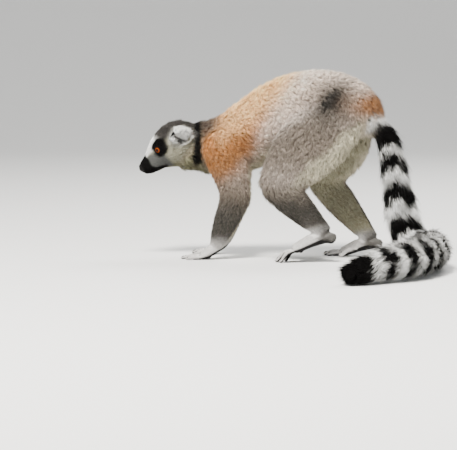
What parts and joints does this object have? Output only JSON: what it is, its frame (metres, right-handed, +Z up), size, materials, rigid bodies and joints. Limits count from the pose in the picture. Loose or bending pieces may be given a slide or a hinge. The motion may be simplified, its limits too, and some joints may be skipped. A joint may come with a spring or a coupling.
{
  "type": "ring-tailed lemur",
  "caption": "Ring-tailed lemur standing on all fours with an arched back, a lowered head and a banded tail that hangs and curls along the floor.",
  "frame": {"origin": "on the floor, under the middle of the animal's box", "axes": "-X the way the body faces, +X towards the tail, -Y the animal's left side, +Z up"},
  "size_m": [0.5072, 0.4564, 0.2939],
  "materials": {
    "tan_coat": "dense soft fur, orange-tan",
    "grey_coat": "dense soft fur, grey with pale tips",
    "white_coat": "short soft fur, white to cream",
    "dark_coat": "soft fur, black",
    "ringed_coat": "long loose fur in black and white rings",
    "skin": "bare black skin of nose, lips, palms and soles",
    "eye": "wet gloss, orange iris with a black pupil",
    "claw": "dark horn"
  },
  "bodies": {
    "root": {"trunk": "tan_coat", "neck": "grey_coat", "head": "white_coat", "ear_left": "white_coat", "eye_left": "eye", "upper_arm_left": "tan_coat", "forearm_left": "grey_coat", "hand_left": "white_coat", "thigh_left": "grey_coat", "shank_left": "grey_coat", "foot_left": "white_coat", "ear_right": "white_coat", "eye_right": "eye", "upper_arm_right": "tan_coat", "forearm_right": "grey_coat", "hand_right": "white_coat", "thigh_right": "grey_coat", "shank_right": "grey_coat", "foot_right": "white_coat", "tail_1": "ringed_coat", "tail_2": "ringed_coat", "tail_3": "ringed_coat", "tail_4": "ringed_coat", "tail_5": "ringed_coat", "tail_6": "ringed_coat"}
  },
  "joints": []
}
